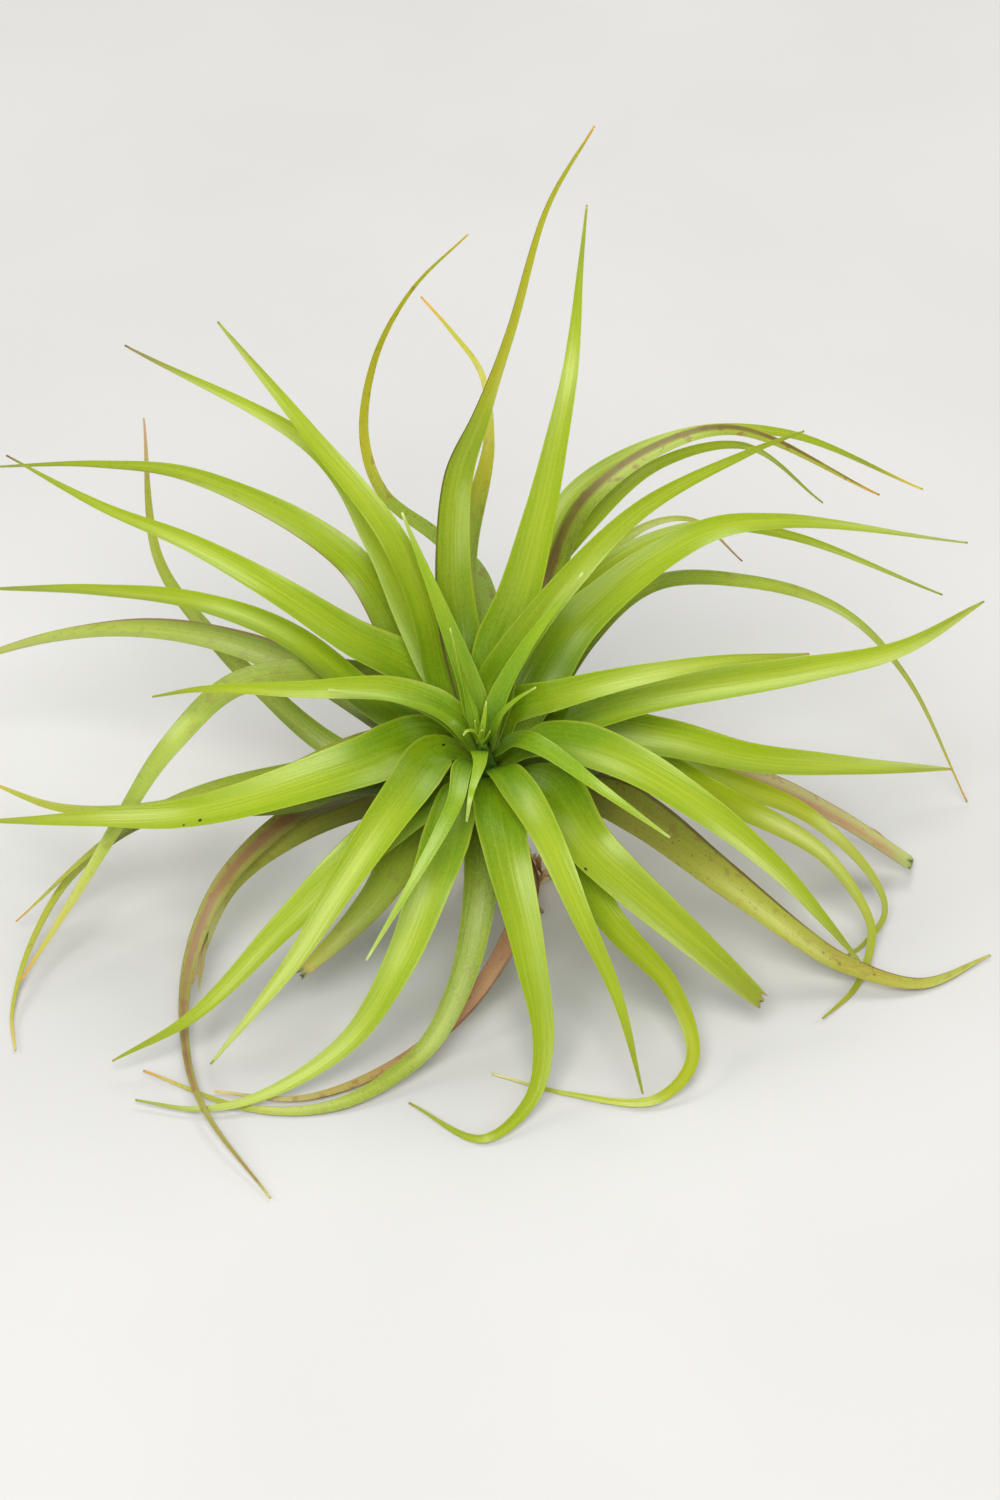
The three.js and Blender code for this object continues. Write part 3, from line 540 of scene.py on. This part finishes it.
def mark_layer(n, base, mark):
    """A small round dark mark."""
    across, along, radius = mark
    off = n.new("ShaderNodeVectorMath", operation="DISTANCE")
    n.put(n.vector(n.mm_across, n.mm_along, 0.0), off.inputs[0])
    off.inputs[1].default_value = (across, along, 0.0)
    return n.blend(n.ease(off.outputs["Value"], radius, 0.5 * radius), base, DARK_MARK)


def tip_layer(n, base, look):
    """The dried tip, which starts raggedly."""
    ragged = n.times(n.math("SUBTRACT", n.broad, 0.5), 0.06)
    dried = n.ease(n.math("ADD", n.along, ragged), 1.0 - look["tip_share"], 1.0)
    return n.blend(dried, base, look["tip"])


def leaf_material(name, look, seed):
    n = BladeNodes(name, seed)
    base = n.ramp(n.along, look["along"])
    for add in (fibre_layers, skin_layers, age_layers):
        base = add(n, base, look)
    if "stripe" in look:
        base = stripe_layer(n, base, look["stripe"])
    for mark in look.get("marks", []):
        base = mark_layer(n, base, mark)
    base = tip_layer(n, base, look)
    if "shade" in look:
        base = n.blend(1.0 - look["shade"], base, SHADE)
    n.bump(n.math("ADD", n.veins, n.times(n.grit, GRIT_SHARE)), *LEAF_BUMP)
    plain_part, grit_part = GRIT_ROUGHNESS
    rough = n.math("ADD", look["rough"] + plain_part, n.times(n.grit, grit_part))
    return n.finish(base, rough, LEAF_SKIN)


def bark_material(name):
    """Brown and woody at the foot, green where the living leaves grow."""
    n = Nodes(name)
    place = n.new("ShaderNodeTexCoord").outputs["Object"]
    grain = n.noise(place, scale=900.0, detail=5.0, roughness=0.65)
    patch = n.noise(place, scale=220.0, detail=2.0)
    wood = n.layer(n.ramp(grain, WOOD_TONES), RUST, patch, (0.5, 0.65), 0.5)
    fresh = n.ramp(grain, FRESH_TONES)
    height = n.math("ADD", n.split(place)[2], n.times(patch, GREEN_DRIFT))
    base = n.blend(n.ease(height, *GREEN_FROM), wood, fresh)
    n.bump(grain, *BARK_BUMP)
    least, added = BARK_ROUGHNESS
    rough = n.math("ADD", least, n.times(patch, added))
    return n.finish(base, rough, {"Specular IOR Level": 0.3})


def floor_material():
    n = Nodes("pale_floor")
    place = n.new("ShaderNodeTexCoord").outputs["Object"]
    cloud = n.noise(place, scale=6.0, detail=3.0)
    return n.finish(n.ramp(cloud, FLOOR_TONES), FLOOR_ROUGHNESS, {})


# ---------------------------------------------------------------- lines and rings

def axis_at(height):
    return np.array([LEAN[0] * height, LEAN[1] * height, height])


def unit(v):
    return v / np.linalg.norm(v)


def spun(v, turn):
    """v turned about +Z."""
    c, s = math.cos(turn), math.sin(turn)
    return np.array([c * v[0] - s * v[1], s * v[0] + c * v[1], v[2]])


def smoothstep(x, low, high):
    t = min(1.0, max(0.0, (x - low) / (high - low)))
    return t * t * (3 - 2 * t)


def stem_radius(height):
    heights, radii = zip(*STEM_RADII)
    return float(np.interp(height, heights, radii))


def smooth_way(points):
    """A centripetal Catmull-Rom line through the points."""
    p = [np.array(q, float) for q in points]
    p = [2 * p[0] - p[1]] + p + [2 * p[-1] - p[-2]]
    line = []
    for i in range(1, len(p) - 2):
        a, b, c, d = p[i - 1:i + 3]
        d0, d1, d2 = (math.sqrt(np.linalg.norm(step)) for step in (b - a, c - b, d - c))
        t1 = ((b - a) / d0 - (c - a) / (d0 + d1) + (c - b) / d1) * d1
        t2 = ((c - b) / d1 - (d - b) / (d1 + d2) + (d - c) / d2) * d1
        for k in range(WAY_STEPS):
            t = k / WAY_STEPS
            line.append((2 * t**3 - 3 * t**2 + 1) * b + (t**3 - 2 * t**2 + t) * t1
                        + (3 * t**2 - 2 * t**3) * c + (t**3 - t**2) * t2)
    line.append(p[-2])
    return np.array(line)


def evenly(line, step):
    """The same line as points about `step` apart, with its length."""
    gone = np.concatenate([[0], np.cumsum(np.linalg.norm(np.diff(line, axis=0), axis=1))])
    count = max(FEWEST_STATIONS, int(round(gone[-1] / step)))
    at = np.linspace(0, gone[-1], count + 1)
    return np.stack([np.interp(at, gone, line[:, k]) for k in range(3)], axis=1), gone[-1]


def carried_frames(points):
    """Direction and upper side at each point, carried along the line without twisting."""
    along = np.gradient(points, axis=0)
    along /= np.linalg.norm(along, axis=1)[:, None]
    up = np.array([0.0, 0.0, 1.0])
    ups = []
    for t in along:
        up = unit(up - t * np.dot(up, t))
        ups.append(up)
    return along, np.array(ups)


def stations(way, step):
    """Even stations along a way, and its length. A station is its share of the length, its place,
    and the directions up, sideways and on from there."""
    points, length = evenly(smooth_way(way), step)
    along, ups = carried_frames(points)
    last = len(points) - 1
    rows = [(i / last, points[i], ups[i], np.cross(ups[i], along[i]), along[i])
            for i in range(last + 1)]
    return rows, length


def ring_angles(count):
    return [FULL_TURN * k / count for k in range(count)]


def tube_faces(start, count, sides):
    """Faces of a closed tube of `count` rings of `sides` points each, from point `start` on."""
    faces = []
    for i in range(count - 1):
        low = start + i * sides
        for j in range(sides):
            k = (j + 1) % sides
            faces.append((low + j, low + k, low + sides + k, low + sides + j))
    end = start + (count - 1) * sides
    faces.append(tuple(start + j for j in range(sides - 1, -1, -1)))
    faces.append(tuple(end + j for j in range(sides)))
    return faces


def closed_mesh(name, tubes):
    """One mesh of closed tubes. A tube is a list of rings, and a ring a list of points, each with
    its shares across and along the blade and its place there in millimetres."""
    verts, faces, shares, mms = [], [], [], []
    for rings in tubes:
        faces += tube_faces(len(verts), len(rings), len(rings[0]))
        for ring in rings:
            for point, share, mm in ring:
                verts.append(tuple(MM * c for c in point))
                shares.append(share)
                mms.append(mm)
    mesh = bpy.data.meshes.new(name)
    mesh.from_pydata(verts, [], faces)
    for layer, table in (("blade", shares), ("millimetres", mms)):
        uv = mesh.uv_layers.new(name=layer)
        flat = np.array([table[loop.vertex_index] for loop in mesh.loops], dtype=np.float32)
        uv.data.foreach_set("uv", flat.ravel())
    mesh.polygons.foreach_set("use_smooth", [True] * len(mesh.polygons))
    mesh.update()
    return mesh


def show(name, mesh, material, node):
    piece = bpy.data.objects.new(name, mesh)
    SCENE.collection.objects.link(piece)
    mesh.materials.append(material)
    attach(piece, "root")
    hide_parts(node)


# ---------------------------------------------------------------- blades

def half_width(name, share, width):
    if share < WIDEST_AT:
        return 0.5 * width * (FOOT_SHARE + (1 - FOOT_SHARE) * share / WIDEST_AT)
    end = CUT_ENDS.get(name, TIP_WIDTH)
    left = max(0.0, 1 - (share - WIDEST_AT) / (1 - WIDEST_AT))
    tapered = left ** TAPERS.get(name, TAPER)
    place, kept = WAISTS.get(name, NO_WAIST)
    past = smoothstep(share, place - WAIST_LENGTH, place + WAIST_LENGTH)
    return 0.5 * (end + (width - end) * tapered * (1 - (1 - kept) * past))


def sheet_point(at, up, side, half, v, lift):
    """The blade's surface: clasped round the stem's axis near it, a shallow channel further out.
    `v` goes from -1 at one margin to 1 at the other."""
    away = half * v
    rise = CUP * half * abs(v) ** CUP_CURVE + lift
    free = at + side * away * (1 - CUP_PULL * CUP * v * v) + up * rise
    centre = axis_at(at[2])
    arm = at - centre
    reach = math.hypot(arm[0], arm[1])
    if reach >= CLASP_END:
        return free
    turn = away / reach
    clasped = centre + spun(arm, turn) + spun(up, turn) * lift
    mix = smoothstep(reach, 0, CLASP_END)
    return clasped * (1 - mix) + free * mix


def waviness(rng):
    """A slow, small sideways drift of a margin: a function of the place along the blade."""
    waves = [(rng.uniform(*WAVE_LENGTHS), rng.uniform(0, WAVE_TURN), rng.uniform(*WAVE_SIZES))
             for _ in range(WAVES)]

    def drift(place):
        heights = (size * math.sin(WAVE_TURN * place / length + start)
                   for length, start, size in waves)
        return sum(heights) / WAVES
    return drift


def foot_of(seat, first):
    """Where a blade's middle line leaves the stem, on the side of the first point of its way."""
    arm = np.array(first, float) - axis_at(first[2])
    outward = unit(np.array([arm[0], arm[1], 0.0]))
    return axis_at(seat) + outward * (stem_radius(seat) + SEAT_GAP)


def blade_ring(station, half, length, margins, tear, seed):
    """One ring of a blade. `tear`, 0 to 1, is how ragged it is along the blade."""
    share, at, up, side, forward = station
    slim_share, slim_added = THICK_SLIM
    thick = min(THICK_MID, slim_share * half + slim_added)
    notch, notches, back = TEAR
    ring = []
    for angle in ring_angles(RING_POINTS):
        v = math.cos(angle)
        drift = margins[v > 0](share * length)
        grown = half * (1 + WAVE_SHARE * drift * abs(v) * min(1, WAVE_GROWTH * share))
        body = THICK_MARGIN + (thick - THICK_MARGIN) * (1 - v * v)
        point = sheet_point(at, up, side, grown, v, 0.5 * body * math.sin(angle))
        point = point + forward * tear * (notch * math.sin(notches * v + seed) - back)
        ring.append((point, (0.5 + 0.5 * v, share), (half * v, share * length)))
    return ring


def blade_mesh(name, seat, width, way, seed):
    rows, length = stations([foot_of(seat, way[0]), *way], STATION_STEP)
    rng = random.Random(seed)
    margins = (waviness(rng), waviness(rng))
    rings = []
    for station in rows:
        share, at = station[:2]
        reach = math.hypot(*(at - axis_at(at[2]))[:2])
        half = min(half_width(name, share, width), CLASP_SPREAD * reach)
        tear = 0.0
        if name in CUT_ENDS:
            tear = max(0.0, 1 - length * (1 - share) / TORN_LENGTH)
        rings.append(blade_ring(station, half, length, margins, tear, seed))
    slivers = [rolled_rings(line, **SLIVER_SHAPE) for line in SLIVERS.get(name, [])]
    return closed_mesh(name, [rings, *slivers])


def rolled_rings(way, wide, narrow, roll, thick):
    """Rings of a slim leaf that is rolled lengthwise: its half-width goes from `wide` to
    `narrow`, and `roll` is how far its margins turn, in radians."""
    rows, length = stations(way, ROLLED_STEP)
    rings = []
    for share, at, up, side, _ in rows:
        half = narrow + (wide - narrow) * (1 - share ** 2)
        body = min(thick, ROLLED_THICK * half)
        ring = []
        for angle in ring_angles(ROLLED_POINTS):
            v = math.cos(angle)
            bend = roll * v
            out = half / roll - 0.5 * body * math.sin(angle)
            point = at + side * out * math.sin(bend) + up * (half / roll - out * math.cos(bend))
            ring.append((point, (0.5 + 0.5 * v, share), (half * v, share * length)))
        rings.append(ring)
    return rings


def build_leaves():
    for seed, (name, kind, seat, width, way) in enumerate(LEAVES, start=1):
        look = {**KINDS[kind], **OWN_LOOKS.get(name, {})}
        mesh = blade_mesh(name, seat, width, way, seed)
        show(name + "_skin", mesh, leaf_material(name + "_look", look, seed), name)


# ---------------------------------------------------------------- stem, old leaf bases and heart

STEM_TOP = 58.5
STEM_RINGS = 100
STEM_POINTS = 40
SCAR_DEPTH = 0.07  # share of the radius taken away between two old leaf scars
SCARS = (2.1, 3)  # how fast they follow each other up the stem and round it
GROOVE_DEPTH = 0.03
GROOVES = (0.2, 13)

ROOT_STEP = 0.8
ROOT_POINTS = 16
ROOT_RADIUS = (0.62, 0.2)  # at the stem, and how much of it is lost by the end
ROOT_KNOBS = (0.1, 21)  # how much they add to the radius, and how close they follow each other
ROOTS = [
    [(1, 0, 1.2), (7, 2, 1), (11, 5, 0.8)],
    [(0, -1, 1.2), (2, -8, 1), (5, -12, 0.8)],
    [(-1, 1, 1.2), (-7, 4, 1), (-12, 3, 0.8)],
]

SCALES = 15
SCALE_SEED = 100
SCALE_FOOT = 2.4
SCALE_SHIFT = 0.1  # how far a scale may lie from its even place, in radians
SCALE_TOP = (8.6, 1.6, 4, 1.2)  # mean height, its swing, swings round the stem, and random loss
SCALE_STEPS = 14
SCALE_POINTS = 14
SCALE_SPREAD = (0.34, 0.85, 2.5)  # half angle at the foot, share lost by the top, how late
SCALE_LAYERS = 3
SCALE_LEAN = (0.40, 0.18, 0.35)  # clear of the stem, more for each layer, and more at the top
SCALE_THICK = 0.14
SCALE_TEAR = (0.5, 0.3, 5)  # how far the top droops at its margins, depth of notches, how many
SCALE_SKIN = (1.7, 6)  # half-width and length over which the skin's patterns are laid
FLARE = (3.4, 0.3, 3)  # how far bases on the right curl away, their turn, and how few they are
# Painted light: paler, brighter tones than the dry bases' own, so they look lit in the leaves'
# shade.
SHEATH_LIT_LOOK = {
    "along": [(0.0, (0.80, 0.34, 0.10)), (0.4, (0.88, 0.54, 0.26)), (0.9, (0.94, 0.80, 0.58))],
    "tip": (0.86, 0.68, 0.46), "wear": 0.0, "specks": 0.1, "blotch": 0.15,
}
SHEATH_SEED = 70

# The leaflets of the heart: half-width at the foot, roll, and way.
HEART_LEAFLETS = [
    (1.15, 1.1, [(-10.8, -14.1, 58.6), (-9.8, -13, 65), (-9.3, -11.3, 70)]),
    (1.0, 1.3, [(-10.8, -14.2, 58.6), (-10.7, -15.1, 62.4), (-10.3, -16.2, 65)]),
    (1.0, 1.2, [(-10.8, -14.2, 58.6), (-12.2, -14.6, 62.9), (-14, -15.5, 64), (-15, -16, 63)]),
    (0.9, 1.2, [(-10.4, -13.6, 58.6), (-11.9, -12.8, 62.5), (-12.2, -12.4, 65)]),
    (0.8, 1.2, [(-10.2, -14, 58.6), (-8.9, -14.6, 61.8), (-8.4, -15.0, 63.6)]),
]
HEART_TIP = 0.25
HEART_THICK = 0.5
HEART_SEED = 71


def swell(rates, height, angle):
    """A wave between 0 and 1 that climbs the stem and winds round it."""
    climb, wind = rates
    return 0.5 + 0.5 * math.sin(climb * height + wind * angle)


def stem_rings():
    """The stem with low ring-shaped scars of leaves that fell off, and fine grooves."""
    rings = []
    for i in range(STEM_RINGS + 1):
        height = STEM_TOP * i / STEM_RINGS
        ring = []
        for angle in ring_angles(STEM_POINTS):
            scar = SCAR_DEPTH * swell(SCARS, height, angle)
            groove = GROOVE_DEPTH * swell(GROOVES, height, angle)
            radius = stem_radius(height) * (1 - scar - groove)
            arm = radius * np.array([math.cos(angle), math.sin(angle), 0.0])
            ring.append((axis_at(height) + arm, (angle / FULL_TURN, i / STEM_RINGS),
                         (radius * angle, height)))
        rings.append(ring)
    return rings


def root_rings(way, seed):
    """A dry, wiry root, thinner towards its end and a little knobbly."""
    rows, length = stations(way, ROOT_STEP)
    thickest, lost = ROOT_RADIUS
    knob, knobs = ROOT_KNOBS
    rings = []
    for share, at, up, side, _ in rows:
        radius = (thickest - lost * share) * (1 + knob * math.sin(knobs * share + seed))
        ring = []
        for angle in ring_angles(ROOT_POINTS):
            point = at + side * radius * math.cos(angle) + up * radius * math.sin(angle)
            ring.append((point, (angle / FULL_TURN, share), (radius * angle, share * length)))
        rings.append(ring)
    return rings


def scale_ring(number, share, top, middle, flare):
    height = SCALE_FOOT + (top - SCALE_FOOT) * share
    widest, lost, late = SCALE_SPREAD
    spread = widest * (1 - lost * share ** late)
    clear, layer, tipped = SCALE_LEAN
    lean = clear + layer * (number % SCALE_LAYERS) + (tipped + flare) * share ** 2
    droop, notch, notches = SCALE_TEAR
    half, length = SCALE_SKIN
    ring = []
    for angle in ring_angles(SCALE_POINTS):
        v = math.cos(angle)
        turn = middle + spread * v
        radius = stem_radius(height) + lean + SCALE_THICK * (1 - v * v) * math.sin(angle)
        point = axis_at(height) + radius * np.array([math.cos(turn), math.sin(turn), 0.0])
        level = height - droop * share * v * v + notch * share * math.sin(notches * v + number)
        point[2] = max(SCALE_FOOT, level)
        ring.append((point, (0.5 + 0.5 * v, share), (half * v, length * share)))
    return ring


def scale_rings(number):
    """One dry, papery leaf base: a curved strip that leans away from the stem and ends in a torn
    point."""
    rng = random.Random(SCALE_SEED + number)
    middle = FULL_TURN * number / SCALES + rng.uniform(-SCALE_SHIFT, SCALE_SHIFT)
    mean, swing, swings, loss = SCALE_TOP
    top = mean + swing * math.sin(swings * middle) - rng.uniform(0.0, loss)
    curl, turn, narrowness = FLARE
    flare = curl * max(0.0, math.cos(middle + turn)) ** narrowness
    return [scale_ring(number, i / SCALE_STEPS, top, middle, flare)
            for i in range(SCALE_STEPS + 1)]


def build_stem():
    roots = [root_rings(way, seed) for seed, way in enumerate(ROOTS)]
    mesh = closed_mesh("stem_skin", [stem_rings(), *roots])
    show("stem_skin", mesh, bark_material("stem_bark"), "stem")


def build_sheath():
    mesh = closed_mesh("sheath_scales", [scale_rings(number) for number in range(SCALES)])
    look = {**KINDS["dry"], **SHEATH_LIT_LOOK}
    material = leaf_material("sheath_look", look, SHEATH_SEED)
    show("sheath_scales", mesh, material, "dry_sheath")


def build_heart():
    leaflets = [rolled_rings(way, wide, HEART_TIP, roll, HEART_THICK)
                for wide, roll, way in HEART_LEAFLETS]
    mesh = closed_mesh("heart_leaflets", leaflets)
    look = {**KINDS["young"], "tip_share": 0.12}
    material = leaf_material("heart_look", look, HEART_SEED)
    show("heart_leaflets", mesh, material, "heart")


# ---------------------------------------------------------------- floor, light and camera

FLOOR_SIZE = 6.0
LIT_MIDDLE = (-0.01, 0.0, 0.06)
# Softboxes: name, place, diameter, watts and tone.
SOFTBOXES = [
    ("top_softbox", (-0.15, -0.8, 1.2), 0.9, 15.0, (1.0, 1.0, 0.98)),
    ("rear_softbox", (0.1, 1.0, 1.25), 0.8, 8.0, (1.0, 0.99, 0.96)),
    ("left_softbox", (-1.3, 0.05, 0.85), 0.6, 6.0, (0.98, 0.99, 1.0)),
    ("right_softbox", (1.25, 0.55, 0.65), 0.6, 6.0, (1.0, 0.99, 0.96)),
    ("front_softbox", (0.25, -1.5, 0.8), 0.6, 4.0, (1.0, 1.0, 1.0)),
]
ROOM_TONE = (0.92, 0.95, 1.0, 1.0)
ROOM_STRENGTH = 0.34
CAMERA_AT = (-0.006, -0.6807, 0.6162)
CAMERA_TILT = math.radians(50.0)  # looks 40 degrees down
CAMERA_LENS = 85.0
CAMERA_SENSOR = 36.0


def build_floor():
    half = FLOOR_SIZE / 2
    corners = [(-half, -half, 0), (half, -half, 0), (half, half, 0), (-half, half, 0)]
    mesh = bpy.data.meshes.new("floor")
    mesh.from_pydata(corners, [], [(0, 1, 2, 3)])
    mesh.materials.append(floor_material())
    floor = bpy.data.objects.new("floor", mesh)
    SCENE.collection.objects.link(floor)


def softbox(name, place, size, watts, tone):
    data = bpy.data.lights.new(name, "AREA")
    data.shape = "DISK"
    data.size = size
    data.energy = watts
    data.color = tone
    lamp = bpy.data.objects.new(name, data)
    lamp.location = place
    aim = Vector(LIT_MIDDLE) - Vector(place)
    lamp.rotation_euler = aim.to_track_quat("-Z", "Y").to_euler()
    SCENE.collection.objects.link(lamp)


def build_light():
    for box in SOFTBOXES:
        softbox(*box)
    world = bpy.data.worlds.new("studio")
    world.use_nodes = True
    background = world.node_tree.nodes["Background"]
    background.inputs["Color"].default_value = ROOM_TONE
    background.inputs["Strength"].default_value = ROOM_STRENGTH
    SCENE.world = world
    SCENE.view_settings.view_transform = "Standard"


def build_camera():
    data = bpy.data.cameras.new("camera")
    data.lens = CAMERA_LENS
    data.sensor_width = CAMERA_SENSOR
    camera = bpy.data.objects.new("camera", data)
    camera.location = CAMERA_AT
    camera.rotation_euler = (CAMERA_TILT, 0.0, 0.0)
    SCENE.collection.objects.link(camera)
    SCENE.camera = camera


build_leaves()
build_stem()
build_sheath()
build_heart()
build_floor()
build_light()
build_camera()
